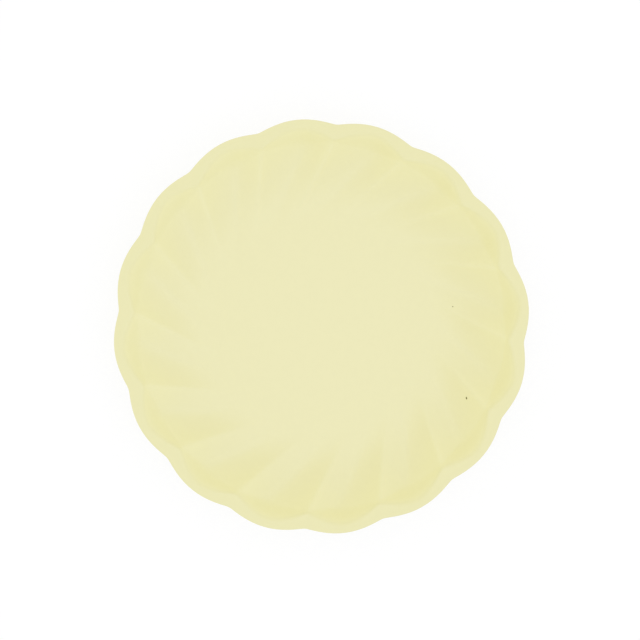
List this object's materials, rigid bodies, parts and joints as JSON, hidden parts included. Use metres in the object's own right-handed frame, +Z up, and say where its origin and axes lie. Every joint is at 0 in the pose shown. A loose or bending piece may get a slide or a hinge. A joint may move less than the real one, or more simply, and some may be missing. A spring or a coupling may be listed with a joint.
{
  "type": "stack of paper plates",
  "caption": "Nested stack of round paper plates with a scalloped rim, a narrow flat lip and swirled flutes round a flat well, for serving food.",
  "frame": {"origin": "middle of the bottom plate's foot, on the surface that the stack stands on", "axes": "+Z up along the plates' common axis, +X through a lobe of the rim"},
  "size_m": [0.21, 0.21, 0.0249],
  "materials": {
    "pulp": "pressed paper pulp, dyed pale yellow, matt"
  },
  "bodies": {
    "root": {"plate_1": "pulp", "plate_2": "pulp", "plate_3": "pulp", "plate_4": "pulp", "plate_5": "pulp", "plate_6": "pulp"}
  },
  "joints": []
}
